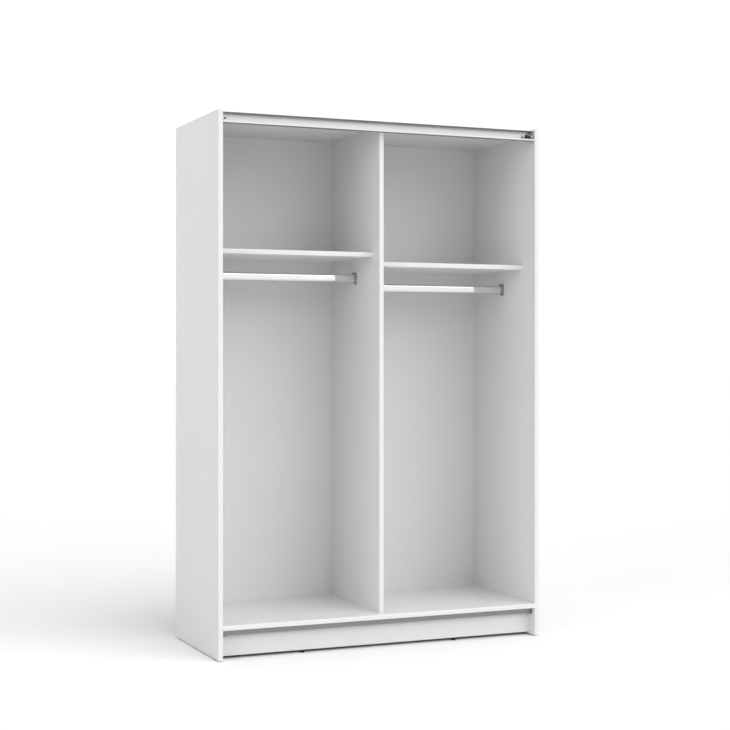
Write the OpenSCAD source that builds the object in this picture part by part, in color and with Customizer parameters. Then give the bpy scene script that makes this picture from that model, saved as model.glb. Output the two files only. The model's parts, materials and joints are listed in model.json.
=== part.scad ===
// Two-bay wardrobe carcass for hanging sliding doors, shown with its doors off.
// Millimetres. Origin: middle of the footprint, on the floor.
// +X points right, -Y out of the open front, +Z up.

/* [Carcass] */
// Width over the two side panels
body_w = 1192; // [900:1:1600]
// Height from the floor to the top of the side panels
body_h = 1800; // [1500:1:2300]
// Depth of the side panels
body_d = 484; // [400:1:620]
// Thickness of every board
board_t = 16; // [15:0.5:22]
// Thickness of the banding glued on the front edges
band_t = 1; // [0.5:0.1:2]
// How far the top panel lies below the side panels' top ends
top_drop = 6; // [2:1:30]
// Height of the bottom panel's underside above the floor
base_h = 100; // [70:1:160]

/* [Back] */
// Thickness of the back sheets
back_t = 3; // [2.5:0.1:5]
// Board left behind the groove that holds a back sheet
back_inset = 7; // [6:0.5:15]
// Depth of the groove in the side panels
groove_d = 8; // [5:0.5:10]
// Spacing wanted between the nails that hold the sheets
nail_pitch = 195; // [100:5:300]

/* [Shelves and rails] */
// Clear height of the left bay above its shelf
upper_bay_h = 425; // [250:1:600]
// How much lower the right shelf and rail hang: one pitch of the drilled rows
shelf_step = 32; // [32:32:128]
// Distance from the front of the side panels to the shelves' front edges
shelf_setback = 90; // [60:1:140]
// Drop from a shelf's underside to the rail's middle
rail_drop = 68; // [60:1:100]
// Distance from the front of the side panels to the rail's middle
rail_setback = 242; // [200:1:300]
// Height of the rail's oval
rail_h = 30; // [24:0.5:40]
// Width of the rail's oval
rail_w = 15; // [12:0.5:20]
// Wall of the rail's tube
rail_wall = 1; // [0.8:0.1:2]

/* [Door gear] */
// Height of the top track's section
track_h = 35; // [32:1:45]
// Depth of the top track's section
track_d = 33; // [30:1:45]
// Wall of the top track
track_wall = 1.6; // [1.2:0.1:2.5]
// Height of the lip along the top track's lower flange
track_lip = 5; // [4:0.5:6]
// Distance from the front of the side panels to the track's front
track_inset = 1; // [0.5:0.5:5]
// Height of the lower guide rail
guide_h = 20; // [16:1:26]
// Depth of the lower guide rail, across both lanes
guide_d = 22; // [22:1:30]
// Wall of the lower guide rail
guide_wall = 1.4; // [1:0.1:2]
// Distance from the bottom panel's front edge to the guide rail
guide_inset = 22; // [10:1:30]
// How far the left stop's plain pin reaches from the side panel
pin_reach = 16.5; // [14:0.5:20]
// How far the right stop's head reaches from the side panel
head_reach = 28; // [24:0.5:32]
// Diameter of the right stop's head
head_d = 13; // [9:0.5:18]

/* [Floor contact] */
// Height of the glides under the side panels
glide_h = 3; // [2:0.5:6]
// Distance from the glides' middles to the side panels' front and rear edges
glide_inset = 46; // [30:1:90]
// Gap between the plinths and the floor
plinth_gap = 10; // [9:0.5:14]
// Distance from the middle of the wardrobe to the feet under the plinths
foot_x = 284; // [150:1:400]
// Travel of a levelling foot
foot_travel = 5; // [3:0.5:5]

/* [Hidden] */
$fn = 48;

// Fits and small allowances
fit = 0.05;       // radial room of a fixed fastener in its hole
slip = 0.4;       // room around a piece that lies loose
eps = 0.01;       // overshoot of a cut past a face

// Main planes
front_y = -body_d / 2;
rear_y = body_d / 2;
inner_x = body_w / 2 - board_t;          // inner faces of the side panels
half_t = board_t / 2;                    // faces of the centre divider
top_z = body_h - top_drop;               // upper face of the top panel
ceiling_z = top_z - board_t;             // lower face of the top panel
floor_z = base_h + board_t;              // upper face of the bottom panel
back_y = rear_y - back_inset - back_t;   // front faces of the back sheets
inset_y = front_y + track_inset + track_d; // front of the top panel and the divider
shelf_y = front_y + shelf_setback;
plinth_y = front_y + guide_inset + guide_d; // front face of the front plinth
rear_plinth_y = back_y - board_t - 6;    // front face of the rear plinth
rail_y = front_y + rail_setback;
shelf_z_left = ceiling_z - upper_bay_h - board_t;  // lower face of the left shelf
shelf_z_right = shelf_z_left - shelf_step;
bay_w = inner_x - half_t;
bay_mid = half_t + bay_w / 2;

// Cam fittings: a bolt screwed in one board is pulled by a cam let into the other
cam_d = 15;
cam_floor = 3.5;                  // board left under the cam
cam_depth = board_t - cam_floor;
cam_back = 34;                    // cam's middle from the end of its board
cam_inset = 50;                   // cam's middle from the front or rear edge of its board
cam_slot_w = 1.6;
cam_slot_h = 3;
bolt_thread_d = 5;
bolt_thread_l = 11;
bolt_shank_d = 6.6;
bolt_neck_d = 4.4;
bolt_head_l = 2.5;
bolt_bore_d = 7.4;
cap_d = 17;
cap_t = 1.2;
dowel_d = 8;
dowel_in = 10;                    // part of a dowel in the board across
dowel_out = 20;                   // part of a dowel in the end of its board
dowel_pitch = 32;

// Rail brackets
cup_wall = 1.8;
cup_depth = 7.5;
cup_arm = 6;                      // arms above the rail
cup_plate_t = 2.5;
cup_plate_margin = 1.5;
cup_screw_rise = 8;               // screws above and below the rail's middle

// Door stops in the top track: a sleeve let into the side panel and a sprung pin in it
stop_rod_d = 5;
stop_sleeve_d = 8;
stop_sleeve_in = 11;              // part of the sleeve in the side panel
stop_washer_d = 11;
stop_washer_t = 2;
stop_collar_d = 10;
stop_collar_l = 5;
stop_floor = 1;                   // sleeve's closed end
stop_head_l = 6;
stop_out = stop_washer_t + stop_collar_l;
stop_bore_l = stop_out + stop_sleeve_in - stop_floor;
pin_travel = pin_reach - stop_out - 1.5;
head_travel = min(head_reach - stop_head_l - stop_out - 1, stop_bore_l - 5);
stop_y = front_y + track_inset + track_d / 2;
stop_z = top_z - 20;
track_rib_h = track_wall + 2.2;   // height of the rib that the doors' wheels run on

// Levelling feet
foot_disc_d = 15;
foot_disc_h = 4;
foot_rod_d = 6;
foot_rod_l = 20;
insert_d = 9.6;
insert_l = 13;

rot_out = [90, 0, 90];            // turns a section drawn in Y and Z to run along X

function spread(from, to, pitch) =
    let (n = max(1, round((to - from) / pitch)))
    [for (i = [0:n]) from + (to - from) * i / n];

// ---- Joints between boards -------------------------------------------------
// A joint is [point on the end face at mid thickness, way into the board in X, roll].
// Roll turns the side on which the cam is put in: 0 up, 180 down, -90 to the rear.

function end_joints(x_in, sides, ys, z, roll) =
    [for (s = sides) for (y = ys) [[s * x_in, y, z], -s, roll]];

top_joints = end_joints(inner_x, [-1, 1], [inset_y + cam_inset, back_y - cam_inset],
    top_z - half_t, 0);
bottom_joints = end_joints(inner_x, [-1, 1], [inset_y + cam_inset, back_y - cam_inset],
    base_h + half_t, 180);
shelf_cam_ys = [shelf_y + cam_inset, back_y - cam_inset];
shelf_joints_left = concat(
    end_joints(inner_x, [-1], shelf_cam_ys, shelf_z_left + half_t, 180),
    [for (y = shelf_cam_ys) [[-half_t, y, shelf_z_left + half_t], -1, 180]]);
shelf_joints_right = concat(
    end_joints(inner_x, [1], shelf_cam_ys, shelf_z_right + half_t, 180),
    [for (y = shelf_cam_ys) [[half_t, y, shelf_z_right + half_t], 1, 180]]);
plinth_z = (plinth_gap + base_h) / 2;
plinth_joints_front = end_joints(inner_x, [-1, 1], [plinth_y + half_t], plinth_z, -90);
plinth_joints_rear = end_joints(inner_x, [-1, 1], [rear_plinth_y + half_t], plinth_z, -90);
plinth_joints = concat(plinth_joints_front, plinth_joints_rear);
side_joints = concat(top_joints, bottom_joints, shelf_joints_left, shelf_joints_right,
    plinth_joints);

// Dowels stand one pitch from each cam, towards the middle of the board
function dowel_points(joints) =
    [for (j = joints) [[j[0][0], j[0][1] + (j[0][1] < 0 ? 1 : -1) * dowel_pitch, j[0][2]], j[1]]];
plinth_dowel_rise = 26;
function plinth_dowel_points(joints) =
    [for (j = joints) for (s = [-1, 1])
        [[j[0][0], j[0][1], j[0][2] + s * plinth_dowel_rise], j[1]]];
brace_dowel_zs = [plinth_z - 16, plinth_z + 16];

top_dowels = dowel_points(top_joints);
bottom_dowels = dowel_points(bottom_joints);
shelf_dowels_left = dowel_points(shelf_joints_left);
shelf_dowels_right = dowel_points(shelf_joints_right);
plinth_dowels = plinth_dowel_points(plinth_joints);
side_dowels = concat(top_dowels, bottom_dowels, shelf_dowels_left, shelf_dowels_right,
    plinth_dowels);

divider_screw_ys = [inset_y + cam_inset, back_y - cam_inset];

module at_joint(j) {
    translate(j[0])
        rotate([j[1] > 0 ? j[2] : -j[2], 0, j[1] > 0 ? 0 : 180])
            children();
}

module at_dowel(p) {
    translate(p[0])
        rotate([0, 0, p[1] > 0 ? 0 : 180])
            children();
}

// A round bar along +X
module bar_x(d, from, to) {
    translate([from, 0, 0])
        rotate([0, 90, 0])
            cylinder(d = d, h = to - from);
}

module cam_cuts(joints) {
    for (j = joints)
        at_joint(j) {
            bar_x(bolt_bore_d, -eps, cam_back);
            translate([cam_back, 0, half_t - cam_depth])
                cylinder(d = cam_d + 2 * fit, h = cam_depth + eps);
        }
}

module pilot_cuts(joints) {
    for (j = joints)
        at_joint(j)
            bar_x(bolt_thread_d + 2 * fit, -bolt_thread_l - 0.5, eps);
}

module cam_housing() {
    color("silver")
        difference() {
            translate([cam_back, 0, half_t - cam_depth])
                cylinder(d = cam_d, h = cam_depth);
            bar_x(bolt_bore_d, cam_back - cam_d, cam_back + cam_d / 4);
            translate([cam_back, 0, half_t - cam_slot_h])
                for (a = [0, 90])
                    rotate([0, 0, a])
                        translate([-cam_d / 3, -cam_slot_w / 2, 0])
                            cube([cam_d * 2 / 3, cam_slot_w, cam_slot_h + eps]);
        }
}

module cam_bolt() {
    neck_from = cam_back - cam_d / 2 - 2;
    head_from = cam_back - bolt_head_l / 2;
    color("gainsboro") {
        bar_x(bolt_thread_d, -bolt_thread_l, eps);
        bar_x(bolt_shank_d, 0, neck_from + eps);
        bar_x(bolt_neck_d, neck_from, head_from + eps);
        bar_x(bolt_shank_d, head_from, head_from + bolt_head_l);
    }
}

module cam_housings(joints) {
    for (j = joints)
        at_joint(j)
            cam_housing();
}

module cam_bolts(joints) {
    for (j = joints)
        at_joint(j)
            cam_bolt();
}

module dowel(length, d) {
    chamfer = 1;
    color("burlywood")
        rotate([0, 90, 0])
            rotate_extrude()
                polygon([[0, 0], [d / 2 - chamfer, 0], [d / 2, chamfer],
                    [d / 2, length - chamfer], [d / 2 - chamfer, length], [0, length]]);
}

module dowels(points) {
    for (p = points)
        at_dowel(p)
            translate([-dowel_in, 0, 0])
                dowel(dowel_in + dowel_out, dowel_d);
}

module dowel_cuts(points) {
    for (p = points)
        at_dowel(p)
            bar_x(dowel_d + 2 * fit, -dowel_in - 0.5, dowel_out + 0.5);
}

module brace_dowels() {
    for (z = brace_dowel_zs) {
        translate([0, plinth_y + board_t - dowel_in, z])
            rotate([0, 0, 90])
                dowel(dowel_in + dowel_out, dowel_d);
        translate([0, rear_plinth_y + dowel_in, z])
            rotate([0, 0, -90])
                dowel(dowel_in + dowel_out, dowel_d);
    }
}

module brace_dowel_cuts() {
    for (z = brace_dowel_zs) {
        translate([0, plinth_y + board_t - dowel_in - 0.5, z])
            rotate([0, 0, 90])
                bar_x(dowel_d + 2 * fit, 0, dowel_in + dowel_out + 1);
        translate([0, rear_plinth_y + dowel_in + 0.5, z])
            rotate([0, 0, -90])
                bar_x(dowel_d + 2 * fit, 0, dowel_in + dowel_out + 1);
    }
}

// ---- Screws and nails: head at the origin, point along -Z --------------------

module cross_recess(w, depth) {
    for (a = [0, 90])
        rotate([0, 0, a])
            translate([-w / 2, -w / 8, -depth])
                cube([w, w / 4, depth + eps]);
}

module flat_head_screw(d, length, head_d) {
    head_l = (head_d - d) / 2;
    color("silver")
        difference() {
            rotate_extrude()
                polygon([[0, 0], [head_d / 2, 0], [d / 2, -head_l],
                    [d / 2, -length + d / 2], [0, -length]]);
            cross_recess(head_d * 0.55, head_l * 0.7);
        }
}

module flat_head_cut(d, length, head_d) {
    head_l = (head_d - d) / 2;
    rotate_extrude()
        polygon([[0, eps], [head_d / 2 + fit + eps, eps], [head_d / 2 + fit, 0],
            [d / 2 + fit, -head_l], [d / 2 + fit, -length - 0.5], [0, -length - 0.5]]);
}

module pan_head_screw(d, length, head_d, head_h) {
    color("silver")
        difference() {
            rotate_extrude()
                polygon([[0, head_h], [head_d / 2 - head_h * 0.6, head_h],
                    [head_d / 2, head_h * 0.4], [head_d / 2, 0], [d / 2, 0],
                    [d / 2, -length + d / 2], [0, -length]]);
            translate([0, 0, head_h])
                cross_recess(head_d * 0.5, head_h * 0.7);
        }
}

module pan_head_cut(d, length) {
    translate([0, 0, -length - 0.5])
        cylinder(d = d + 2 * fit, h = length + 1);
}

// ---- Boards -----------------------------------------------------------------

module board(from, to) {
    color("white")
        translate(from)
            cube(to - from);
}

// Rail bracket screws go into the boards at both ends of each rail
cup_screw_d = 4;
cup_screw_l = 14;
cup_screw_head_d = 8;
rail_z_left = shelf_z_left - rail_drop;
rail_z_right = shelf_z_right - rail_drop;
// [wall in X, way into the bay, height of the rail's middle]
cup_left_outer = [-inner_x, 1, rail_z_left];
cup_left_inner = [-half_t, -1, rail_z_left];
cup_right_inner = [half_t, 1, rail_z_right];
cup_right_outer = [inner_x, -1, rail_z_right];
cups = [cup_left_outer, cup_left_inner, cup_right_inner, cup_right_outer];

// Puts a screw's head on a cup's plate, its point into the board
module at_cup_screws(c) {
    for (s = [-1, 1])
        translate([c[0] + c[1] * cup_plate_t, rail_y, c[2] + s * cup_screw_rise])
            rotate([0, c[1] * 90, 0])
                children();
}

module cup_screw_cuts() {
    for (c = cups)
        at_cup_screws(c)
            flat_head_cut(cup_screw_d, cup_screw_l, cup_screw_head_d);
}

// Puts a stop's pieces at one end of the track, +X from the side panel into the bay
module at_stop(s) {
    translate([s * inner_x, stop_y, stop_z])
        mirror([s > 0 ? 1 : 0, 0, 0])
            children();
}

glide_pin_d = 2.4;
glide_pin_l = 14;
glide_ys = [front_y + glide_inset, rear_y - glide_inset];

module side_panel(s) {
    difference() {
        board([min(s * inner_x, s * body_w / 2), front_y + band_t, glide_h],
            [max(s * inner_x, s * body_w / 2), rear_y, body_h]);
        translate([s > 0 ? inner_x - eps : -inner_x - groove_d, back_y, glide_h - eps])
            cube([groove_d + eps, back_t + slip, body_h - glide_h + 2 * eps]);
        pilot_cuts([for (j = side_joints) if (abs(j[0][0] - s * inner_x) < eps) j]);
        dowel_cuts([for (p = side_dowels) if (abs(p[0][0] - s * inner_x) < eps) p]);
        cup_screw_cuts();
        at_stop(s)
            bar_x(stop_sleeve_d + 2 * fit, -stop_sleeve_in - 0.5, eps);
        for (y = glide_ys)
            translate([s * (body_w - board_t) / 2, y, glide_h - eps])
                cylinder(d = glide_pin_d + 2 * fit, h = glide_pin_l + 1);
    }
}

module side_panel_left() {
    side_panel(-1);
}

module side_panel_right() {
    side_panel(1);
}

divider_screw_d = 5;
divider_screw_l = 50;
divider_screw_head_d = 9;

module at_divider_screws() {
    for (y = divider_screw_ys) {
        translate([0, y, top_z])
            children();
        translate([0, y, base_h])
            rotate([180, 0, 0])
                children();
    }
}

module divider_screw_cuts() {
    at_divider_screws()
        flat_head_cut(divider_screw_d, divider_screw_l, divider_screw_head_d);
}

track_screw_d = 3.5;
track_screw_l = 30;
track_screw_head_d = 7;
track_screw_xs = spread(-inner_x + 40, inner_x - 40, 180);
web_y = inset_y - track_wall;     // front of the track's web

module at_track_screws() {
    for (x = track_screw_xs)
        translate([x, web_y, top_z - half_t])
            rotate([90, 0, 0])
                children();
}

guide_screw_d = 3.5;
guide_screw_l = 13;
guide_screw_head_d = 7;
guide_screw_head_h = 1.8;
guide_screw_xs = spread(-inner_x + 60, inner_x - 60, 210);
guide_lane_w = (guide_d - 3 * guide_wall) / 2;
rear_lane_y = plinth_y - guide_wall - guide_lane_w / 2;
front_lane_y = front_y + guide_inset + guide_wall + guide_lane_w / 2;

module at_guide_screws() {
    for (x = guide_screw_xs)
        translate([x, rear_lane_y, base_h - guide_wall])
            rotate([180, 0, 0])
                children();
}

// Nails through the back sheets: down the divider, and along the top and bottom panels
nail_d = 1.4;
nail_l = 16;
nail_head_d = 3.2;
nail_head_h = 0.8;
nail_x_in = 4;                    // nails' distance from the joint between the sheets
divider_nail_zs = spread(floor_z + 60, ceiling_z - 60, nail_pitch);
panel_nail_xs = spread(60, inner_x - 60, nail_pitch);
nail_points = [for (s = [-1, 1]) each concat(
    [for (z = divider_nail_zs) [s * nail_x_in, z]],
    [for (x = panel_nail_xs) for (z = [base_h + half_t, top_z - half_t]) [s * x, z]])];

module at_nails() {
    for (p = nail_points)
        translate([p[0], back_y + back_t, p[1]])
            rotate([-90, 0, 0])
                children();
}

module nail_cuts() {
    at_nails()
        translate([0, 0, -nail_l - 0.5])
            cylinder(d = nail_d + 2 * fit, h = nail_l + 1, $fn = 16);
}

module top_panel() {
    difference() {
        board([-inner_x, inset_y, ceiling_z], [inner_x, back_y, top_z]);
        cam_cuts(top_joints);
        dowel_cuts(top_dowels);
        divider_screw_cuts();
        at_track_screws()
            flat_head_cut(track_screw_d, track_screw_l, track_screw_head_d);
        nail_cuts();
    }
}

module bottom_panel() {
    difference() {
        board([-inner_x, front_y + band_t, base_h], [inner_x, back_y, floor_z]);
        cam_cuts(bottom_joints);
        dowel_cuts(bottom_dowels);
        divider_screw_cuts();
        at_guide_screws()
            pan_head_cut(guide_screw_d, guide_screw_l);
        nail_cuts();
    }
}

module centre_divider() {
    near = [for (j = side_joints) if (abs(j[0][0]) < board_t) j];
    difference() {
        board([-half_t, inset_y + band_t, floor_z], [half_t, back_y, ceiling_z]);
        pilot_cuts(near);
        dowel_cuts([for (p = side_dowels) if (abs(p[0][0]) < board_t) p]);
        divider_screw_cuts();
        cup_screw_cuts();
        nail_cuts();
    }
}

module shelf(s, z, joints, points) {
    difference() {
        board([min(s * half_t, s * inner_x), shelf_y + band_t, z],
            [max(s * half_t, s * inner_x), back_y, z + board_t]);
        cam_cuts(joints);
        dowel_cuts(points);
    }
}

module shelf_left() {
    shelf(-1, shelf_z_left, shelf_joints_left, shelf_dowels_left);
}

module shelf_right() {
    shelf(1, shelf_z_right, shelf_joints_right, shelf_dowels_right);
}

module foot_cut(x, y) {
    translate([x, y, plinth_gap - eps]) {
        cylinder(d = insert_d + 2 * fit, h = insert_l + eps);
        cylinder(d = foot_rod_d + 1, h = foot_disc_h + foot_rod_l + foot_travel + 2 - plinth_gap);
    }
}

module plinth(y, joints) {
    difference() {
        board([-inner_x, y, plinth_gap], [inner_x, y + board_t, base_h]);
        cam_cuts(joints);
        dowel_cuts(plinth_dowel_points(joints));
        brace_dowel_cuts();
        for (s = [-1, 1])
            foot_cut(s * foot_x, y + half_t);
    }
}

module front_plinth() {
    plinth(plinth_y, plinth_joints_front);
}

module rear_plinth() {
    plinth(rear_plinth_y, plinth_joints_rear);
}

module plinth_brace() {
    difference() {
        board([-half_t, plinth_y + board_t, plinth_gap], [half_t, rear_plinth_y, base_h]);
        brace_dowel_cuts();
    }
}

module back_sheet(s) {
    joint_gap = 0.25;
    difference() {
        board([min(s * joint_gap, s * (inner_x + groove_d - slip)), back_y, base_h],
            [max(s * joint_gap, s * (inner_x + groove_d - slip)), back_y + back_t, top_z]);
        nail_cuts();
    }
}

module back_sheet_left() {
    back_sheet(-1);
}

module back_sheet_right() {
    back_sheet(1);
}

// ---- Banding: a strip with softly rounded outer corners -----------------------

band_r = 0.7 * band_t;

// Section of a strip, its glued side on y = 0 and its face at y = -band_t
module band_section(w) {
    steps = 4;
    polygon(concat(
        [[-w / 2, 0]],
        [for (i = [0:steps]) let (a = 180 + 90 * i / steps)
            [-w / 2 + band_r + band_r * cos(a), -band_t + band_r + band_r * sin(a)]],
        [for (i = [0:steps]) let (a = 270 + 90 * i / steps)
            [w / 2 - band_r + band_r * cos(a), -band_t + band_r + band_r * sin(a)]],
        [[w / 2, 0]]));
}

module band_upright(x, y, z_low, z_high) {
    color("white")
        translate([x, y + band_t, z_low])
            linear_extrude(z_high - z_low)
                band_section(board_t);
}

module band_level(x_low, x_high, y, z) {
    color("white")
        translate([x_low, y + band_t, z])
            rotate([0, 90, 0])
                linear_extrude(x_high - x_low)
                    band_section(board_t);
}

module edge_band_side_left() {
    band_upright(-(body_w - board_t) / 2, front_y, glide_h, body_h);
}

module edge_band_side_right() {
    band_upright((body_w - board_t) / 2, front_y, glide_h, body_h);
}

module edge_band_bottom() {
    band_level(-inner_x, inner_x, front_y, base_h + half_t);
}

module edge_band_divider() {
    band_upright(0, inset_y, floor_z, ceiling_z);
}

module edge_band_shelf_left() {
    band_level(-inner_x, -half_t, shelf_y, shelf_z_left + half_t);
}

module edge_band_shelf_right() {
    band_level(half_t, inner_x, shelf_y, shelf_z_right + half_t);
}

// ---- Hanging rails and their cups ---------------------------------------------

// An upright oval: two half circles joined by straight sides
module oval(w, h) {
    for (s = [-1, 1])
        translate([0, s * (h - w) / 2])
            circle(d = w);
    square([w, h - w], center = true);
}

module hanging_rail(x_low, x_high, z) {
    end_gap = cup_plate_t + 2 * slip;
    color("gainsboro")
        translate([x_low + end_gap, rail_y, z])
            rotate(rot_out)
                linear_extrude(x_high - x_low - 2 * end_gap)
                    difference() {
                        oval(rail_w, rail_h);
                        oval(rail_w - 2 * rail_wall, rail_h - 2 * rail_wall);
                    }
}

module hanging_rail_left() {
    hanging_rail(-inner_x, -half_t, rail_z_left);
}

module hanging_rail_right() {
    hanging_rail(half_t, inner_x, rail_z_right);
}

// A shape with a round lower end and a straight top, open upwards
module cup_section(w, top) {
    translate([0, -(rail_h - rail_w) / 2])
        circle(d = w);
    translate([-w / 2, -(rail_h - rail_w) / 2])
        square([w, top + (rail_h - rail_w) / 2]);
}

module rail_bracket(c) {
    inner_w = rail_w + 2 * slip;
    outer_w = inner_w + 2 * cup_wall;
    plate_w = outer_w + 2 * cup_plate_margin;
    arm_top = rail_h / 2 + cup_arm;
    color("silver")
        difference() {
            translate([c[0], rail_y, c[2]])
                mirror([c[1] > 0 ? 0 : 1, 0, 0])
                    rotate(rot_out) {
                        linear_extrude(cup_plate_t)
                            oval(plate_w, rail_h + plate_w - inner_w + 2 * slip + cup_arm);
                        translate([0, 0, cup_plate_t - eps])
                            linear_extrude(cup_depth + eps)
                                difference() {
                                    cup_section(outer_w, arm_top);
                                    cup_section(inner_w, arm_top + eps);
                                }
                    }
            at_cup_screws(c)
                flat_head_cut(cup_screw_d, cup_screw_l, cup_screw_head_d);
        }
}

module rail_bracket_left_outer() {
    rail_bracket(cup_left_outer);
}

module rail_bracket_left_inner() {
    rail_bracket(cup_left_inner);
}

module rail_bracket_right_inner() {
    rail_bracket(cup_right_inner);
}

module rail_bracket_right_outer() {
    rail_bracket(cup_right_outer);
}

module rail_bracket_screws() {
    for (c = cups)
        at_cup_screws(c)
            flat_head_screw(cup_screw_d, cup_screw_l, cup_screw_head_d);
}

// ---- Top track and its stops ----------------------------------------------------

// Section in Y and Z, front at y = 0 and underside at z = 0
module track_section() {
    square([track_d, track_wall]);
    translate([0, track_h - track_wall])
        square([track_d, track_wall]);
    translate([track_d - track_wall, 0])
        square([track_wall, track_h]);
    square([track_wall, track_lip]);
    translate([track_d / 2, 0])
        square([track_wall, track_rib_h]);
}

module top_track() {
    end_gap = 0.5;
    color("lightgray")
        difference() {
            translate([-inner_x + end_gap, front_y + track_inset, top_z - track_h])
                rotate(rot_out)
                    linear_extrude(2 * (inner_x - end_gap))
                        track_section();
            at_track_screws()
                flat_head_cut(track_screw_d, track_screw_l, track_screw_head_d);
        }
}

module track_screws() {
    at_track_screws()
        flat_head_screw(track_screw_d, track_screw_l, track_screw_head_d);
}

module rounded_rect(w, h, r) {
    square([w, h - 2 * r], center = true);
    square([w - 2 * r, h], center = true);
    for (x = [-1, 1])
        for (y = [-1, 1])
            translate([x * (w / 2 - r), y * (h / 2 - r)])
                circle(r = r);
}

module stop_sleeve(s) {
    color("whitesmoke")
        at_stop(s)
            difference() {
                union() {
                    bar_x(stop_sleeve_d, -stop_sleeve_in, stop_washer_t + eps);
                    bar_x(stop_collar_d, stop_washer_t, stop_out);
                }
                bar_x(stop_rod_d + 2 * fit, stop_floor - stop_sleeve_in, stop_out + 1);
            }
}

// The pin's inner end leaves room for its travel
module stop_pin(reach, travel) {
    tip = 1;
    bar_x(stop_rod_d, stop_out - stop_bore_l + travel + 0.5, reach - tip + eps);
    translate([reach - tip, 0, 0])
        rotate([0, 90, 0])
            cylinder(d1 = stop_rod_d, d2 = stop_rod_d - 2 * tip, h = tip);
}

// A disc along +X with both rims rounded
module stop_head() {
    r = 1.5;
    translate([head_reach - stop_head_l, 0, 0])
        rotate([0, 90, 0])
            rotate_extrude()
                intersection() {
                    translate([0, stop_head_l / 2])
                        rounded_rect(head_d, stop_head_l, r);
                    square([head_d, stop_head_l]);
                }
}

module stop_sleeve_left() {
    stop_sleeve(-1);
}

module stop_sleeve_right() {
    stop_sleeve(1);
}

module stop_washers() {
    color("black")
        for (s = [-1, 1])
            at_stop(s)
                difference() {
                    bar_x(stop_washer_d, 0, stop_washer_t);
                    bar_x(stop_sleeve_d + 2 * fit, -1, stop_washer_t + 1);
                }
}

module stop_buffer_left() {
    color("black")
        at_stop(-1)
            stop_pin(pin_reach, pin_travel);
}

module stop_buffer_right() {
    color("black")
        at_stop(1) {
            stop_pin(head_reach - stop_head_l / 2, head_travel);
            stop_head();
        }
}

// ---- Lower guide rail ------------------------------------------------------------

guide_cap_t = 4;
guide_plug_l = 14;
guide_plug_drop = 2;

module guide_section() {
    translate([0, guide_h - guide_wall])
        square([guide_d, guide_wall]);
    for (y = [0, guide_wall + guide_lane_w, guide_d - guide_wall])
        translate([y, 0])
            square([guide_wall, guide_h]);
}

module guide_rail() {
    color("darkgray")
        difference() {
            translate([-inner_x + guide_cap_t, front_y + guide_inset, base_h - guide_h])
                rotate(rot_out)
                    linear_extrude(2 * (inner_x - guide_cap_t))
                        guide_section();
            at_guide_screws()
                pan_head_cut(guide_screw_d, guide_screw_l);
        }
}

module guide_rail_screws() {
    at_guide_screws()
        pan_head_screw(guide_screw_d, guide_screw_l, guide_screw_head_d, guide_screw_head_h);
}

// End plate with a plug in each lane; a plug reaches a little below the rail
module guide_end_cap(s) {
    plug_h = guide_h - guide_wall + guide_plug_drop - 2 * fit;
    color("black")
        mirror([s > 0 ? 1 : 0, 0, 0]) {
            translate([-inner_x, front_y + guide_inset, base_h - guide_h])
                cube([guide_cap_t, guide_d, guide_h]);
            for (y = [front_lane_y, rear_lane_y])
                translate([-inner_x, y - guide_lane_w / 2 + fit,
                    base_h - guide_h - guide_plug_drop])
                    cube([guide_cap_t + guide_plug_l, guide_lane_w - 2 * fit, plug_h]);
        }
}

module guide_end_cap_left() {
    guide_end_cap(-1);
}

module guide_end_cap_right() {
    guide_end_cap(1);
}

// ---- Fittings, one node for each family --------------------------------------------

module cam_housings_top() {
    cam_housings(top_joints);
}

module cam_housings_bottom() {
    cam_housings(bottom_joints);
}

module cam_housings_shelves() {
    cam_housings(concat(shelf_joints_left, shelf_joints_right));
}

module cam_housings_plinths() {
    cam_housings(plinth_joints);
}

module cam_bolts_top() {
    cam_bolts(top_joints);
}

module cam_bolts_bottom() {
    cam_bolts(bottom_joints);
}

module cam_bolts_shelves() {
    cam_bolts(concat(shelf_joints_left, shelf_joints_right));
}

module cam_bolts_plinths() {
    cam_bolts(plinth_joints);
}

module dowels_top() {
    dowels(top_dowels);
}

module dowels_bottom() {
    dowels(bottom_dowels);
}

module dowels_shelves() {
    dowels(concat(shelf_dowels_left, shelf_dowels_right));
}

module dowels_plinths() {
    dowels(plinth_dowels);
    brace_dowels();
}

module cam_caps() {
    color("white")
        for (j = concat(shelf_joints_left, shelf_joints_right))
            at_joint(j)
                translate([cam_back, 0, half_t])
                    cylinder(d1 = cap_d, d2 = cap_d - cap_t, h = cap_t);
}

module divider_screws() {
    at_divider_screws()
        flat_head_screw(divider_screw_d, divider_screw_l, divider_screw_head_d);
}

module back_nails() {
    color("gray")
        at_nails()
            rotate_extrude($fn = 16)
                polygon([[0, nail_head_h], [nail_head_d / 2, nail_head_h],
                    [nail_head_d / 2, 0], [nail_d / 2, 0],
                    [nail_d / 2, -nail_l + nail_d], [0, -nail_l]]);
}

// ---- What stands on the floor --------------------------------------------------------

glide_l = 24;
glide_w = board_t - 3;

module side_glides() {
    color("black")
        for (s = [-1, 1])
            for (y = glide_ys)
                translate([s * (body_w - board_t) / 2, y, 0]) {
                    linear_extrude(glide_h)
                        rounded_rect(glide_w, glide_l, 4);
                    translate([0, 0, glide_h - eps])
                        cylinder(d = glide_pin_d, h = glide_pin_l);
                }
}

module foot(x, y) {
    color("black")
        translate([x, y, 0]) {
            cylinder(d1 = foot_disc_d - 2, d2 = foot_disc_d, h = 1);
            translate([0, 0, 1 - eps])
                cylinder(d = foot_disc_d, h = foot_disc_h - 1 + eps);
            translate([0, 0, foot_disc_h - eps])
                cylinder(d = foot_rod_d, h = foot_rod_l + eps);
        }
}

front_foot_y = plinth_y + half_t;
rear_foot_y = rear_plinth_y + half_t;

module foot_front_left() {
    foot(-foot_x, front_foot_y);
}

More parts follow.
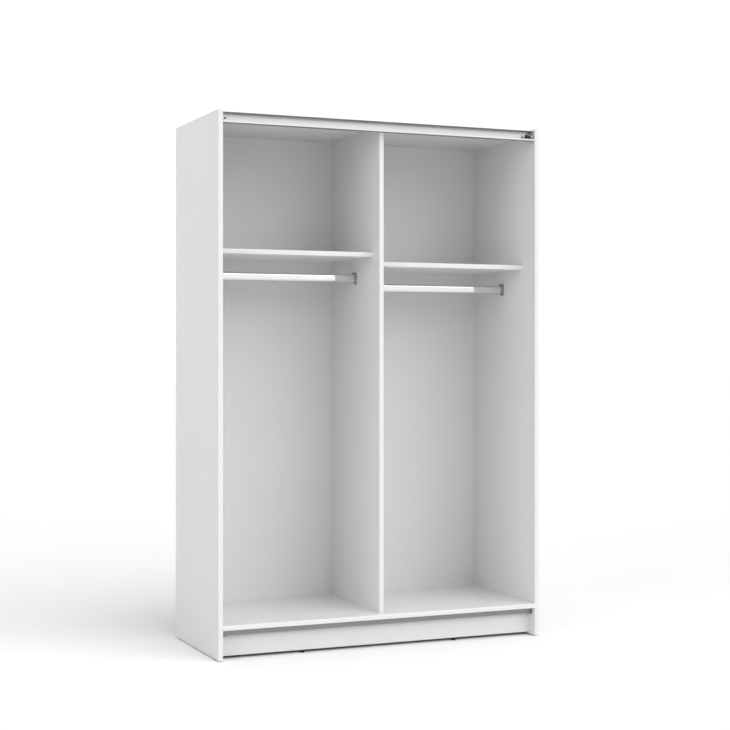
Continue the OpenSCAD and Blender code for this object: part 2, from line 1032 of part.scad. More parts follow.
module foot_front_right() {
    foot(foot_x, front_foot_y);
}

module foot_rear_left() {
    foot(-foot_x, rear_foot_y);
}

module foot_rear_right() {
    foot(foot_x, rear_foot_y);
}

module foot_inserts() {
    color("dimgray")
        for (s = [-1, 1])
            for (y = [front_foot_y, rear_foot_y])
                translate([s * foot_x, y, plinth_gap])
                    difference() {
                        cylinder(d = insert_d, h = insert_l);
                        translate([0, 0, -1])
                            cylinder(d = foot_rod_d + 2 * fit, h = insert_l + 2);
                    }
}

side_panel_left();
side_panel_right();
top_panel();
bottom_panel();
centre_divider();
shelf_left();
shelf_right();
front_plinth();
rear_plinth();
plinth_brace();
back_sheet_left();
back_sheet_right();
edge_band_side_left();
edge_band_side_right();
edge_band_bottom();
edge_band_divider();
edge_band_shelf_left();
edge_band_shelf_right();
hanging_rail_left();
hanging_rail_right();
rail_bracket_left_outer();
rail_bracket_left_inner();
rail_bracket_right_inner();
rail_bracket_right_outer();
rail_bracket_screws();
top_track();
track_screws();
stop_sleeve_left();
stop_sleeve_right();
stop_washers();
stop_buffer_left();
stop_buffer_right();
guide_rail();
guide_rail_screws();
guide_end_cap_left();
guide_end_cap_right();
cam_housings_top();
cam_housings_bottom();
cam_housings_shelves();
cam_housings_plinths();
cam_bolts_top();
cam_bolts_bottom();
cam_bolts_shelves();
cam_bolts_plinths();
dowels_top();
dowels_bottom();
dowels_shelves();
dowels_plinths();
cam_caps();
divider_screws();
back_nails();
side_glides();
foot_front_left();
foot_front_right();
foot_rear_left();
foot_rear_right();
foot_inserts();
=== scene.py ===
"""Looks for the two-bay wardrobe carcass with sliding door gear.

Metres, in the CAD frame: origin on the floor in the middle of the footprint,
+X right, -Y out of the open front, +Z up.
"""

import json
import math

import bmesh
import bpy
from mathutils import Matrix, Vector


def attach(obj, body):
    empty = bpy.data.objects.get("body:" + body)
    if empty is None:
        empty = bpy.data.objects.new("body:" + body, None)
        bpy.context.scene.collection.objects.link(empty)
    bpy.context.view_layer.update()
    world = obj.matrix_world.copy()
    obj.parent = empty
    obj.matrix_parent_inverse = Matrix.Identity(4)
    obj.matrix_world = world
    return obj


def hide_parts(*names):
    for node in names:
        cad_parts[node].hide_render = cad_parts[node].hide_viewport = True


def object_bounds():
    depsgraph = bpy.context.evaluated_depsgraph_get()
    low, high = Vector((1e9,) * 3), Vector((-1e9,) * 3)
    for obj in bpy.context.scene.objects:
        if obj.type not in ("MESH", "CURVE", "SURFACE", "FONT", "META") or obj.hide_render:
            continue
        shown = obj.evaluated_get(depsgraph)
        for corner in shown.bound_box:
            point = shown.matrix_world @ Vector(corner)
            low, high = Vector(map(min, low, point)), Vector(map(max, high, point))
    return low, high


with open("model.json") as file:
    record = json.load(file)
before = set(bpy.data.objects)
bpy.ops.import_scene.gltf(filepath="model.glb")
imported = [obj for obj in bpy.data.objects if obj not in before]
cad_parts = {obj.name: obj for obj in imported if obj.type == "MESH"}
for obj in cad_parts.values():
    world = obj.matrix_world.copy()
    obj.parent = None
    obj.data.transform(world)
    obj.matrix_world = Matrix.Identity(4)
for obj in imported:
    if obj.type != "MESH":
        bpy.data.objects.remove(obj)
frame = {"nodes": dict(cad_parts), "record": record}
cad_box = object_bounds()
MM = 0.001

# ---------------------------------------------------------------- node helpers


def linear(hex_code):
    """An sRGB hex colour as the opaque linear colour that a shader wants."""
    values = [int(hex_code[i:i + 2], 16) / 255 for i in (1, 3, 5)]
    return (*(v / 12.92 if v <= 0.04045 else ((v + 0.055) / 1.055) ** 2.4 for v in values), 1.0)


def add(tree, kind, inputs=None, **settings):
    """Adds a node, sets its settings, then gives each named input a value or a link."""
    made = tree.nodes.new(kind)
    for name, value in settings.items():
        setattr(made, name, value)
    for name, value in (inputs or {}).items():
        socket = made.inputs[name]
        if isinstance(value, bpy.types.NodeSocket):
            tree.links.new(value, socket)
        else:
            socket.default_value = value
    return made


def per_mm(size_mm):
    """Texture scale whose pattern repeats about every size_mm."""
    return 1.0 / (size_mm * MM)


def new_material(name):
    """An empty material with its tree, its Principled shader and its position in object space."""
    made = bpy.data.materials.new(name)
    made.use_nodes = True
    tree = made.node_tree
    tree.nodes.clear()
    shader = add(tree, "ShaderNodeBsdfPrincipled")
    add(tree, "ShaderNodeOutputMaterial", {"Surface": shader.outputs[0]})
    place = add(tree, "ShaderNodeTexCoord")
    return made, tree, shader, place


def mix_colours(tree, factor, low, high):
    """Goes from colour low to colour high as factor goes from 0 to 1."""
    mixed = add(tree, "ShaderNodeMix", {0: factor}, data_type="RGBA")
    for socket, value in ((mixed.inputs[6], low), (mixed.inputs[7], high)):
        if isinstance(value, bpy.types.NodeSocket):
            tree.links.new(value, socket)
        else:
            socket.default_value = value
    return mixed.outputs[2]


def maths(tree, operation, first, second):
    """One sum or test of two values or sockets."""
    return add(tree, "ShaderNodeMath", {0: first, 1: second}, operation=operation).outputs[0]


def remap(tree, value, low, high, to_low, to_high):
    """Turns the span low to high into the span to_low to to_high, and stops at its ends."""
    return add(tree, "ShaderNodeMapRange",
               {0: value, 1: low, 2: high, 3: to_low, 4: to_high}).outputs[0]


def noise(tree, vector, size_mm, detail=2.0, rough=0.5):
    """Soft noise from 0 to 1 whose lumps are about size_mm wide."""
    return add(tree, "ShaderNodeTexNoise",
               {"Vector": vector, "Scale": per_mm(size_mm), "Detail": detail,
                "Roughness": rough}).outputs[0]


def stretched(tree, vector, x=1.0, y=1.0, z=1.0):
    """Coordinates squeezed along an axis, so that a pattern runs out long along it."""
    return add(tree, "ShaderNodeMapping", {"Vector": vector, "Scale": (x, y, z)}).outputs[0]


def bump(tree, height, distance_mm):
    """Relief as deep as distance_mm where height is 1."""
    return add(tree, "ShaderNodeBump",
               {"Height": height, "Distance": distance_mm * MM, "Strength": 1.0}).outputs[0]


# ---------------------------------------------------------------- materials


# Saw-cut rear ends of the side panels show their core. They lie behind this depth (m), which is
# just short of the back sheets' bare side
SAWN_BEHIND_Y = 0.2345
# A face looks along an axis when its normal has more than this share on it
FACES_THAT_WAY = 0.5


def melamine_faced_chipboard():
    """Chipboard pressed between white melamine papers: smooth satin white with a fine pearl
    emboss. The saw-cut rear ends show the chips."""
    made, tree, shader, place = new_material("melamine_faced_chipboard")
    spot = place.outputs["Object"]
    cloud = noise(tree, spot, 240, 3)
    white = mix_colours(tree, cloud, linear("#DBDBDB"), linear("#DEDEDE"))
    # Chips of 2 to 6 mm, finer towards the two faces
    warp = noise(tree, spot, 9, 2)
    chips = add(tree, "ShaderNodeTexVoronoi",
                {"Vector": stretched(tree, spot, 1.0, 1.0, 0.45), "Scale": per_mm(3.4),
                 "Randomness": 1.0}, feature="F1").outputs["Color"]
    chip_tone = add(tree, "ShaderNodeSeparateColor", {"Color": chips}).outputs[0]
    tan = mix_colours(tree, chip_tone, linear("#A87F50"), linear("#D9B98A"))
    brown = mix_colours(tree, remap(tree, warp, 0.45, 0.7, 0.0, 0.6), tan, linear("#7C5936"))
    axes = add(tree, "ShaderNodeSeparateXYZ", {"Vector": spot})
    way = add(tree, "ShaderNodeSeparateXYZ", {"Vector": place.outputs["Normal"]})
    rear = maths(tree, "GREATER_THAN", axes.outputs["Y"], SAWN_BEHIND_Y)
    rearward = maths(tree, "GREATER_THAN", way.outputs["Y"], FACES_THAT_WAY)
    sawn = maths(tree, "MULTIPLY", rear, rearward)
    tree.links.new(mix_colours(tree, sawn, white, brown), shader.inputs["Base Color"])
    satin = remap(tree, noise(tree, spot, 35, 2), 0.3, 0.7, 0.40, 0.46)
    tree.links.new(remap(tree, sawn, 0, 1, satin, 0.9), shader.inputs["Roughness"])
    # Real pearls are 0.3 mm apart; drawn at 1.1 mm so that they show
    pearls = noise(tree, spot, 1.1, 1)
    relief = add(tree, "ShaderNodeMix", {0: sawn, 2: pearls, 3: chip_tone}).outputs[0]
    depth = remap(tree, sawn, 0, 1, 0.012 * MM, 0.25 * MM)
    pearly = add(tree, "ShaderNodeBump",
                 {"Height": relief, "Distance": depth, "Strength": 1.0}).outputs[0]
    tree.links.new(pearly, shader.inputs["Normal"])
    return made


def lacquered_hardboard():
    """Thin pressed fibreboard, white lacquer inside and bare brown fibres behind. It never lies
    quite flat, so its white side shines in slow waves."""
    made, tree, shader, place = new_material("lacquered_hardboard")
    spot = place.outputs["Object"]
    way = add(tree, "ShaderNodeSeparateXYZ", {"Vector": place.outputs["Normal"]})
    bare = maths(tree, "GREATER_THAN", way.outputs["Y"], FACES_THAT_WAY)
    white = mix_colours(tree, noise(tree, spot, 300, 2), linear("#DADADA"), linear("#DDDDDD"))
    # Fibre bundles 0.5 to 2 mm long, drawn at 3 mm
    fibres = noise(tree, stretched(tree, spot, 1.0, 1.0, 0.35), 3.0, 5, 0.7)
    flecks = noise(tree, spot, 14, 4, 0.6)
    bark = mix_colours(tree, fibres, linear("#7A5A3E"), linear("#A98561"))
    brown = mix_colours(tree, remap(tree, flecks, 0.4, 0.65, 0.0, 0.5), bark, linear("#8B6848"))
    tree.links.new(mix_colours(tree, bare, white, brown), shader.inputs["Base Color"])
    tree.links.new(remap(tree, bare, 0, 1, 0.48, 0.82), shader.inputs["Roughness"])
    waves = noise(tree, spot, 160, 2)
    depth = remap(tree, bare, 0, 1, 0.004 * MM, 0.08 * MM)
    fine = add(tree, "ShaderNodeBump",
               {"Height": fibres, "Distance": depth, "Strength": 1.0,
                "Normal": bump(tree, waves, 0.35)}).outputs[0]
    tree.links.new(fine, shader.inputs["Normal"])
    return made


def abs_banding():
    """White ABS strip glued on the board's edge: a little glossier than the faces, with faint
    scraper marks along it."""
    made, tree, shader, place = new_material("abs_banding")
    spot = place.outputs["Object"]
    shader.inputs["Base Color"].default_value = linear("#DEDEDE")
    scrapes = noise(tree, spot, 6, 3)
    tree.links.new(remap(tree, scrapes, 0.3, 0.7, 0.34, 0.44), shader.inputs["Roughness"])
    tree.links.new(bump(tree, scrapes, 0.01), shader.inputs["Normal"])
    return made


def chromed_steel_tube():
    """Bright chrome over polished tube. Fine polishing lines run along it and stretch what it
    mirrors."""
    made, tree, shader, place = new_material("chromed_steel_tube")
    spot = place.outputs["Object"]
    shader.inputs["Base Color"].default_value = linear("#D8D8D8")
    shader.inputs["Metallic"].default_value = 1.0
    lines = noise(tree, stretched(tree, spot, 0.02, 1.0, 1.0), 0.8, 2)
    tree.links.new(remap(tree, lines, 0.3, 0.7, 0.03, 0.07), shader.inputs["Roughness"])
    tree.links.new(bump(tree, lines, 0.001), shader.inputs["Normal"])
    return made


def nickel_die_casting():
    """Nickel over a zinc casting: a darker satin metal with the soft skin of the mould."""
    made, tree, shader, place = new_material("nickel_die_casting")
    spot = place.outputs["Object"]
    shader.inputs["Metallic"].default_value = 1.0
    skin = noise(tree, spot, 2.2, 3)
    tree.links.new(mix_colours(tree, skin, linear("#929292"), linear("#A2A2A2")),
                   shader.inputs["Base Color"])
    tree.links.new(remap(tree, skin, 0.3, 0.7, 0.26, 0.36), shader.inputs["Roughness"])
    tree.links.new(bump(tree, skin, 0.02), shader.inputs["Normal"])
    return made


def anodised_aluminium(name, dark, light):
    """Extruded aluminium, clear anodised: matt silver with die lines that run the length of the
    profile."""
    made, tree, shader, place = new_material(name)
    spot = place.outputs["Object"]
    shader.inputs["Metallic"].default_value = 1.0
    # Die lines 0.1 to 0.5 mm apart, drawn at 0.9 mm
    lines = noise(tree, stretched(tree, spot, 0.004, 1.0, 1.0), 0.9, 3, 0.6)
    tree.links.new(mix_colours(tree, lines, linear(dark), linear(light)),
                   shader.inputs["Base Color"])
    grains = noise(tree, spot, 1.6, 2)
    tree.links.new(remap(tree, grains, 0.3, 0.7, 0.34, 0.44), shader.inputs["Roughness"])
    tree.links.new(bump(tree, lines, 0.02), shader.inputs["Normal"])
    return made


def moulded_plastic(name, dark, light, rough_low, rough_high):
    """Injection-moulded plastic with the fine grain of a spark-eroded mould."""
    made, tree, shader, place = new_material(name)
    spot = place.outputs["Object"]
    tree.links.new(mix_colours(tree, noise(tree, spot, 7, 2), linear(dark), linear(light)),
                   shader.inputs["Base Color"])
    # Mould grain 0.1 mm, drawn at 0.6 mm
    grain = noise(tree, spot, 0.6, 2)
    tree.links.new(remap(tree, grain, 0.3, 0.7, rough_low, rough_high),
                   shader.inputs["Roughness"])
    tree.links.new(bump(tree, grain, 0.02), shader.inputs["Normal"])
    return made


def zinc_plated_steel():
    """Blue-white zinc plating on turned steel: bright, slightly uneven, a little cloudy."""
    made, tree, shader, place = new_material("zinc_plated_steel")
    spot = place.outputs["Object"]
    shader.inputs["Metallic"].default_value = 1.0
    cloud = noise(tree, spot, 3, 3)
    tree.links.new(mix_colours(tree, cloud, linear("#B4B8BC"), linear("#C9CCCE")),
                   shader.inputs["Base Color"])
    tree.links.new(remap(tree, cloud, 0.3, 0.7, 0.24, 0.36), shader.inputs["Roughness"])
    tree.links.new(bump(tree, noise(tree, spot, 0.7, 2), 0.008), shader.inputs["Normal"])
    return made


def zinc_die_casting():
    """Bare die-cast zinc: dull grey with a slightly rippled skin."""
    made, tree, shader, place = new_material("zinc_die_casting")
    spot = place.outputs["Object"]
    shader.inputs["Metallic"].default_value = 1.0
    ripple = noise(tree, spot, 2.4, 3)
    tree.links.new(mix_colours(tree, ripple, linear("#96999B"), linear("#AEB0B2")),
                   shader.inputs["Base Color"])
    tree.links.new(remap(tree, ripple, 0.3, 0.7, 0.40, 0.55), shader.inputs["Roughness"])
    tree.links.new(bump(tree, ripple, 0.03), shader.inputs["Normal"])
    return made


def turned_beech():
    """Beech with its short dark rays along the grain."""
    made, tree, shader, place = new_material("turned_beech")
    spot = place.outputs["Object"]
    grain = noise(tree, stretched(tree, spot, 0.12, 1.0, 1.0), 1.1, 4, 0.6)
    tree.links.new(mix_colours(tree, grain, linear("#C79A66"), linear("#E3C193")),
                   shader.inputs["Base Color"])
    tree.links.new(remap(tree, grain, 0.3, 0.7, 0.55, 0.7), shader.inputs["Roughness"])
    tree.links.new(bump(tree, grain, 0.04), shader.inputs["Normal"])
    return made


# One finish for each material slot that the record gives the nodes
FINISHES = {
    "white_board": melamine_faced_chipboard(),
    "white_back_sheet": lacquered_hardboard(),
    "white_edge_band": abs_banding(),
    "chromed_tube": chromed_steel_tube(),
    "nickel_casting": nickel_die_casting(),
    "anodised_track": anodised_aluminium("anodised_aluminium_track", "#A9A9A9", "#B5B5B5"),
    # The guide rail is the same clear anodised aluminium as the track. Its darker greys are
    # painted shade from the bottom panel's overhang above it.
    "anodised_guide": anodised_aluminium("anodised_aluminium_guide_painted_shade", "#7A7A7A", "#888888"),
    "black_plastic": moulded_plastic("moulded_black_nylon", "#0E0E0F", "#161617", 0.45, 0.58),
    "black_rubber": moulded_plastic("moulded_black_rubber", "#0B0B0B", "#121212", 0.62, 0.74),
    "grey_plastic": moulded_plastic("moulded_grey_nylon", "#3A3B3C", "#454647", 0.48, 0.6),
    "white_plastic": moulded_plastic("moulded_white_cap", "#E9E9E8", "#EEEEED", 0.36, 0.46),
    "zinc_casting": zinc_die_casting(),
    "zinc_steel": zinc_plated_steel(),
    "beech": turned_beech(),
}

slot_of = {part["node"]: part["material_slot"] for part in frame["record"]["subparts"]}
for name, piece in frame["nodes"].items():
    piece.data.materials.clear()
    piece.data.materials.append(FINISHES[slot_of[name]])

# ---------------------------------------------------------------- turned and repeated pieces

scene = bpy.context.scene
SHARP_FROM = math.radians(35)
FULL_TURN = 6.28
MERGE_WITHIN = 0.001 * MM


def solids(node):
    """Lowest and highest corner of each separate solid of a CAD node, sorted."""
    shape = bmesh.new()
    shape.from_mesh(frame["nodes"][node].data)
    bmesh.ops.remove_doubles(shape, verts=shape.verts, dist=MERGE_WITHIN)
    left = set(shape.verts)
    boxes = []
    while left:
        reached = [left.pop()]
        for vertex in reached:
            for edge in vertex.link_edges:
                other = edge.other_vert(vertex)
                if other in left:
                    left.discard(other)
                    reached.append(other)
        low = [min(v.co[axis] for v in reached) for axis in range(3)]
        high = [max(v.co[axis] for v in reached) for axis in range(3)]
        boxes.append((low, high))
    shape.free()
    return sorted(boxes)


def turned(name, outline, around):
    """A closed mesh round the Z axis. Each ring of the outline is a function of the angle that
    gives (radius, height) in mm; the first and last ring close to a point."""
    shape = bmesh.new()
    angles = [2 * math.pi * k / around for k in range(around)]
    top = shape.verts.new((0, 0, outline[0](0)[1] * MM))
    rings = []
    for ring in outline[1:-1]:
        rings.append([])
        for angle in angles:
            radius, height = ring(angle)
            rings[-1].append(shape.verts.new((radius * math.cos(angle) * MM,
                                              radius * math.sin(angle) * MM, height * MM)))
    tip = shape.verts.new((0, 0, outline[-1](0)[1] * MM))
    for k in range(around):
        after = (k + 1) % around
        shape.faces.new((top, rings[0][k], rings[0][after]))
        for upper, lower in zip(rings, rings[1:]):
            shape.faces.new((upper[k], lower[k], lower[after], upper[after]))
        shape.faces.new((tip, rings[-1][after], rings[-1][k]))
    for face in shape.faces:
        face.smooth = True
    mesh = bpy.data.meshes.new(name)
    shape.to_mesh(mesh)
    shape.free()
    mesh.set_sharp_from_angle(angle=SHARP_FROM)
    return mesh


def plain(radius, height):
    """A ring that is round and level."""
    return lambda angle: (radius, height)


def cross_recess(radius, height, arm, reach, depth):
    """A ring of a screw head's face, sunk where the driver's cross goes in."""
    def ring(angle):
        across = radius * min(abs(math.sin(angle)), abs(math.cos(angle)))
        sunk = across < arm / 2 and radius < reach
        return radius, height - (depth * (1 - radius / reach * 0.55) if sunk else 0)
    return ring


def thread(core, crest, pitch, start, end, taper=0.0):
    """Rings of a helical thread from start down to end. It fades in and out over a pitch and
    narrows over the last taper mm."""
    steps = max(2, round(abs(end - start) / pitch * 7))
    rings = []
    for i in range(steps + 1):
        height = start + (end - start) * i / steps
        fade = min(1.0, (start - height) / pitch + 0.02, (height - end) / pitch + 0.02)
        thin = 1.0 if taper == 0 else min(1.0, 0.25 + 0.75 * (height - end) / taper)

        def ring(angle, height=height, fade=fade, thin=thin):
            phase = (height / pitch + angle / (2 * math.pi)) % 1.0
            ridge = max(0.0, 1 - abs(phase - 0.5) * 4)
            return (core + (crest - core) * ridge * fade) * thin, height
        rings.append(ring)
    return rings


def copies_tree():
    """Puts a copy of Piece at every point, turned as the point says and spun at random about its
    own axis by up to Spin, then gives it Finish."""
    tree = bpy.data.node_groups.new("copies_at_points", "GeometryNodeTree")
    face = tree.interface
    face.new_socket("Points", in_out="INPUT", socket_type="NodeSocketGeometry")
    face.new_socket("Piece", in_out="INPUT", socket_type="NodeSocketObject")
    face.new_socket("Spin", in_out="INPUT", socket_type="NodeSocketFloat")
    face.new_socket("Finish", in_out="INPUT", socket_type="NodeSocketMaterial")
    face.new_socket("Copies", in_out="OUTPUT", socket_type="NodeSocketGeometry")
    given = add(tree, "NodeGroupInput")
    piece = add(tree, "GeometryNodeObjectInfo", {"Object": given.outputs["Piece"]})
    turn = add(tree, "GeometryNodeInputNamedAttribute", {"Name": "turn"},
               data_type="FLOAT_VECTOR")
    way = add(tree, "FunctionNodeEulerToRotation", {"Euler": turn.outputs["Attribute"]})
    copies = add(tree, "GeometryNodeInstanceOnPoints",
                 {"Points": given.outputs["Points"], "Instance": piece.outputs["Geometry"],
                  "Rotation": way.outputs[0]})
    chance = add(tree, "FunctionNodeRandomValue", {"Seed": 7}, data_type="FLOAT")
    spin = maths(tree, "MULTIPLY", chance.outputs["Value"], given.outputs["Spin"])
    about = add(tree, "ShaderNodeCombineXYZ", {"Z": spin})
    spun = add(tree, "GeometryNodeRotateInstances",
               {"Instances": copies.outputs[0], "Rotation": about.outputs[0],
                "Local Space": True})
    real = add(tree, "GeometryNodeRealizeInstances", {"Geometry": spun.outputs[0]})
    painted = add(tree, "GeometryNodeSetMaterial",
                  {"Geometry": real.outputs[0], "Material": given.outputs["Finish"]})
    add(tree, "NodeGroupOutput", {"Copies": painted.outputs[0]})
    return tree


COPIES = copies_tree()
SOCKETS = {item.name: item.identifier for item in COPIES.interface.items_tree
           if item.in_out == "INPUT"}
# How a piece made along -Z, head up, is turned to face each way
FACING = {"+Z": (0, 0, 0), "-Z": (math.pi, 0, 0), "+X": (0, math.pi / 2, 0),
          "-X": (0, -math.pi / 2, 0), "+Y": (-math.pi / 2, 0, 0), "-Y": (math.pi / 2, 0, 0)}


def head_point(box, facing):
    """Middle of the end of a solid's box that faces the given way."""
    low, high = box
    axis = "XYZ".index(facing[1])
    point = [(a + b) / 2 for a, b in zip(low, high)]
    point[axis] = high[axis] if facing[0] == "+" else low[axis]
    return point


def repeated(node, mesh, places, body="carcass"):
    """One piece made of copies of a mesh at (point, facing) places, each turned by chance about
    its own axis. It stands for a CAD node."""
    finish = slot_of[node]
    points = bpy.data.meshes.new(node + "_points")
    points.from_pydata([point for point, facing in places], [], [])
    turns = points.attributes.new("turn", "FLOAT_VECTOR", "POINT")
    for record, (point, facing) in zip(turns.data, places):
        record.vector = FACING[facing]
    pattern = bpy.data.objects.new(node + "_pattern", mesh)
    made = bpy.data.objects.new(node + "_made", points)
    scene.collection.objects.link(pattern)
    scene.collection.objects.link(made)
    copies = made.modifiers.new("copies", "NODES")
    copies.node_group = COPIES
    copies[SOCKETS["Piece"]] = pattern
    copies[SOCKETS["Spin"]] = FULL_TURN
    copies[SOCKETS["Finish"]] = FINISHES[finish]
    seen = made.evaluated_get(bpy.context.evaluated_depsgraph_get())
    solid = bpy.data.meshes.new_from_object(seen)
    made.modifiers.clear()
    made.data = solid
    bpy.data.objects.remove(pattern)
    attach(made, body)
    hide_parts(node)


def countersunk_screw(name, length, shank, head, pitch):
    """Chipboard screw, head up, with a cross recess and a thread up to its neck."""
    face = [cross_recess(head / 2 * part, 0, head * 0.16, head * 0.34, head * 0.22)
            for part in (0.12, 0.2, 0.3, 0.4, 0.5, 0.6, 0.64, 0.7, 0.85, 0.97)]
    neck = -(head - shank) / 2
    return turned(name, [plain(0, -head * 0.22), *face, plain(head / 2, -0.15),
                         plain(shank / 2, neck),
                         *thread(shank * 0.36, shank / 2, pitch, neck - 0.2, -length + 0.2,
                                 taper=shank),
                         plain(0, -length)], 40)


def pan_head_screw(name, length, shank, head, rise, pitch):
    """Chipboard screw with a domed head that stands on the metal it holds. Head's top is up."""
    face = [cross_recess(head / 2 * part, -rise * 0.55 * part ** 3, head * 0.15, head * 0.3,
                         rise * 0.7)
            for part in (0.12, 0.2, 0.3, 0.4, 0.5, 0.56, 0.65, 0.78, 0.9)]
    return turned(name, [plain(0, -rise * 0.7), *face, plain(head / 2, -rise * 0.62),
                         plain(head / 2, -rise), plain(shank / 2, -rise),
                         *thread(shank * 0.36, shank / 2, pitch, -rise - 0.6,
                                 -rise - length + 0.2, taper=shank),
                         plain(0, -rise - length)], 40)


def wire_nail(name, box):
    """Nail with a flat head and a four-sided point."""
    length = (box[1][1] - box[0][1]) / MM
    head = (box[1][0] - box[0][0]) / MM / 2
    shank = 0.7
    return turned(name, [plain(0, 0), plain(head * 0.85, -0.02), plain(head, -0.25),
                         plain(head, -0.8), plain(shank, -0.8), plain(shank, -length + 2.2),
                         lambda angle: (shank * (0.45 + 0.1 * math.cos(4 * angle)),
                                        -length + 0.9),
                         plain(0, -length)], 16)


def fluted_dowel(name, length, width):
    """Beech dowel with pressed flutes that let the glue out, and chamfered ends."""
    def fluted(scale, height):
        return lambda angle: (width / 2 * scale * (1 - 0.035 * (1 + math.cos(24 * angle))),
                              height)
    return turned(name, [plain(0, 0), plain(width / 2 * 0.4, 0), plain(width / 2 * 0.76, 0),
                         fluted(1, -1), fluted(1, -length / 3), fluted(1, -length * 2 / 3),
                         fluted(1, -length + 1), plain(width / 2 * 0.76, -length),
                         plain(width / 2 * 0.4, -length), plain(0, -length)], 96)


def levelling_foot(name, box):
    """Foot with a gripping rim and a threaded spindle. Spindle's end is up."""
    tall = (box[1][2] - box[0][2]) / MM
    wide = (box[1][0] - box[0][0]) / MM / 2
    disc = 4.0

    def rim(scale, height):
        return lambda angle: (wide * scale * (1 - 0.022 * (1 + math.cos(18 * angle))), height)
    return turned(name, [plain(0, 0), plain(2.0, 0), plain(2.5, -0.6),
                         *thread(2.55, 2.97, 1.25, -0.8, -tall + disc + 1.2),
                         plain(3.0, -tall + disc + 0.7), plain(3.6, -tall + disc),
                         plain(wide * 0.9, -tall + disc), rim(1, -tall + disc - 0.5),
                         rim(1, -tall + 0.9), plain(wide * 0.9, -tall),
                         plain(wide * 0.5, -tall), plain(wide * 0.42, -tall + 0.4),
                         plain(0, -tall + 0.4)], 72)


def into_the_bay(box):
    """Which way a rail cup's screw faces: away from the board it is driven into. Those far from
    the middle are in the side panels, the others in the divider."""
    middle = (box[0][0] + box[1][0]) / 2
    in_side_panel = abs(middle) > cad_box[1][0] / 2
    return "+X" if (middle < 0) == in_side_panel else "-X"


def away_from_the_divider(box):
    """Which way a divider screw's head faces: up in the top panel, down in the bottom one."""
    return "+Z" if box[1][2] > cad_box[1][2] / 2 else "-Z"


def along_the_dowel(box):
    """A dowel's long way: along X between the uprights and boards, along Y in the brace."""
    return "+X" if box[1][0] - box[0][0] > box[1][1] - box[0][1] else "+Y"


def placed(node, facing):
    """(point, facing) for each solid of a node; facing is a way or a function of the box."""
    ways = [(box, facing if isinstance(facing, str) else facing(box)) for box in solids(node)]
    return [(head_point(box, way), way) for box, way in ways]


# Sizes in mm, as the CAD nodes have them
repeated("rail_bracket_screws",
         countersunk_screw("cup_screw", length=14, shank=4, head=8, pitch=1.8),
         placed("rail_bracket_screws", into_the_bay))
repeated("divider_screws",
         countersunk_screw("divider_screw", length=50, shank=5, head=9, pitch=3.0),
         placed("divider_screws", away_from_the_divider))
repeated("track_screws",
         countersunk_screw("track_screw", length=30, shank=3.5, head=7, pitch=1.6),
         placed("track_screws", "-Y"))
repeated("guide_rail_screws",
         pan_head_screw("guide_screw", length=13, shank=3.5, head=7, rise=1.8, pitch=1.6),
         placed("guide_rail_screws", "-Z"))
repeated("back_nails", wire_nail("nail", solids("back_nails")[0]), placed("back_nails", "+Y"))
for node in ("dowels_top", "dowels_bottom", "dowels_shelves", "dowels_plinths"):
    repeated(node, fluted_dowel("dowel_for_" + node, length=30, width=8),
             placed(node, along_the_dowel))
for corner in ("front_left", "front_right", "rear_left", "rear_right"):
    node = "foot_" + corner
    repeated(node, levelling_foot(node + "_shape", solids(node)[0]), placed(node, "+Z"),
             body=node)

# ---------------------------------------------------------------- edge banding


def scraped_band(node, radius_mm=0.8):
    """A strip of edge banding whose two front edges are scraped round. It stands for a CAD
    node."""
    low, high = solids(node)[0]
    across, along = (0, 2) if high[0] - low[0] < high[2] - low[2] else (2, 0)
    radius = radius_mm * MM
    half = (high[across] - low[across]) / 2
    middle = (high[across] + low[across]) / 2
    steps = [math.radians(30 * k) for k in range(4)]
    rounded = [(half - radius + radius * math.sin(a), low[1] + radius - radius * math.cos(a))
               for a in steps]
    outline = [(-half, high[1])] + [(-u, y) for u, y in reversed(rounded)]
    outline += rounded + [(half, high[1])]
    shape = bmesh.new()
    ends = []
    for stop in (low[along], high[along]):
        ring = []
        for offset, depth in outline:
            corner = [0.0, depth, 0.0]
            corner[across] = middle + offset
            corner[along] = stop
            ring.append(shape.verts.new(corner))
        ends.append(ring)
    for k in range(len(outline)):
        after = (k + 1) % len(outline)
        shape.faces.new((ends[0][k], ends[0][after], ends[1][after], ends[1][k]))
    for ring in ends:
        shape.faces.new(ring)
    bmesh.ops.recalc_face_normals(shape, faces=shape.faces)
    for face in shape.faces:
        face.smooth = True
    mesh = bpy.data.meshes.new(node + "_made")
    shape.to_mesh(mesh)
    shape.free()
    mesh.set_sharp_from_angle(angle=SHARP_FROM)
    mesh.materials.append(FINISHES[slot_of[node]])
    made = bpy.data.objects.new(node + "_made", mesh)
    scene.collection.objects.link(made)
    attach(made, "carcass")
    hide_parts(node)


for node in slot_of:
    if node.startswith("edge_band_"):
        scraped_band(node)

# ---------------------------------------------------------------- softened edges


def soften(node, width_mm):
    """Takes the hard line off a casting's edges, as its mould and plating do."""
    piece = frame["nodes"][node]
    weld = piece.modifiers.new("weld", "WELD")
    weld.merge_threshold = MERGE_WITHIN
    bevel = piece.modifiers.new("soft_edges", "BEVEL")
    bevel.width = width_mm * MM
    bevel.segments = 2
    bevel.limit_method = "ANGLE"
    bevel.angle_limit = math.radians(40)


for node in ("rail_bracket_left_outer", "rail_bracket_left_inner", "rail_bracket_right_inner",
             "rail_bracket_right_outer"):
    soften(node, 0.4)

# ---------------------------------------------------------------- floor, lights, camera


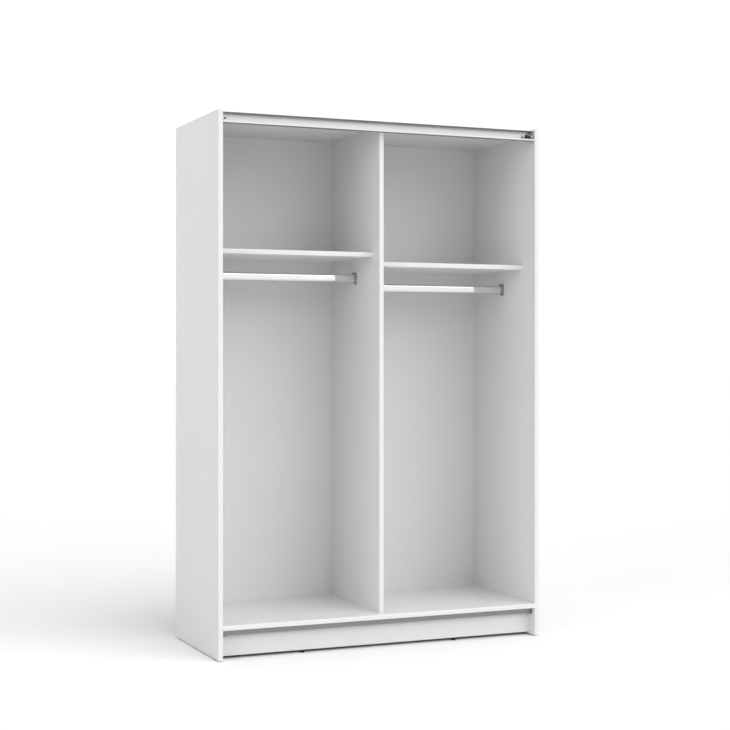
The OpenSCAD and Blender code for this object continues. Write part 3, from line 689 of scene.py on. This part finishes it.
def studio_floor():
    """A plain matt floor, far wider than the view."""
    made, tree, shader, place = new_material("studio_floor")
    tone = noise(tree, place.outputs["Object"], 900, 2)
    tree.links.new(mix_colours(tree, tone, linear("#F7F7F7"), linear("#F8F8F8")),
                   shader.inputs["Base Color"])
    shader.inputs["Roughness"].default_value = 0.9
    shader.inputs["Specular IOR Level"].default_value = 0.0
    mesh = bpy.data.meshes.new("floor")
    reach = 40.0
    mesh.from_pydata([(-reach, -reach, 0), (reach, -reach, 0), (reach, reach, 0),
                      (-reach, reach, 0)], [], [(0, 1, 2, 3)])
    mesh.materials.append(made)
    floor = bpy.data.objects.new("floor", mesh)
    scene.collection.objects.link(floor)


def studio_air(seen, mirrored, lighting):
    """White all round, with its own strength where it is seen straight, where it is seen in a
    reflection, and where it lights matt surfaces."""
    world = bpy.data.worlds.new("studio")
    scene.world = world
    world.use_nodes = True
    tree = world.node_tree
    tree.nodes.clear()
    ray = add(tree, "ShaderNodeLightPath")
    in_mirror = add(tree, "ShaderNodeMath",
                    {0: ray.outputs["Is Glossy Ray"], 1: mirrored - lighting, 2: lighting},
                    operation="MULTIPLY_ADD")
    strength = add(tree, "ShaderNodeMath",
                   {0: ray.outputs["Is Camera Ray"], 1: seen - lighting,
                    2: in_mirror.outputs[0]}, operation="MULTIPLY_ADD")
    air = add(tree, "ShaderNodeBackground",
              {"Color": (1, 1, 1, 1), "Strength": strength.outputs[0]})
    add(tree, "ShaderNodeOutputWorld", {"Surface": air.outputs[0]})


def soft_sun(name, azimuth, elevation, strength, spread):
    """Light from far away and as wide as a big softbox. Azimuth 0 comes from the front, 90 from
    the right. All angles are in degrees."""
    data = bpy.data.lights.new(name, "SUN")
    data.energy = strength
    data.angle = math.radians(spread)
    lamp = bpy.data.objects.new(name, data)
    turn, rise = math.radians(azimuth), math.radians(elevation)
    towards = Vector((math.sin(turn) * math.cos(rise), -math.cos(turn) * math.cos(rise),
                      math.sin(rise)))
    lamp.rotation_euler = towards.to_track_quat("Z", "Y").to_euler()
    scene.collection.objects.link(lamp)


studio_floor()
studio_air(seen=1.1, mirrored=1.2, lighting=0.3)
soft_sun("key", azimuth=24, elevation=38, strength=1.75, spread=70)
soft_sun("overhead", azimuth=0, elevation=88, strength=1.2, spread=40)
soft_sun("fill_left", azimuth=-65, elevation=10, strength=0.95, spread=40)

camera_data = bpy.data.cameras.new("camera")
camera_data.sensor_width = 36
camera_data.lens = 77.26
camera_data.shift_y = -0.0186
camera = bpy.data.objects.new("camera", camera_data)
camera.location = (-2.179, -5.107, 1.011)
camera.rotation_euler = (math.radians(90), 0, math.radians(-23.37))
scene.collection.objects.link(camera)
scene.camera = camera

scene.view_settings.view_transform = "Standard"
scene.view_settings.look = "None"
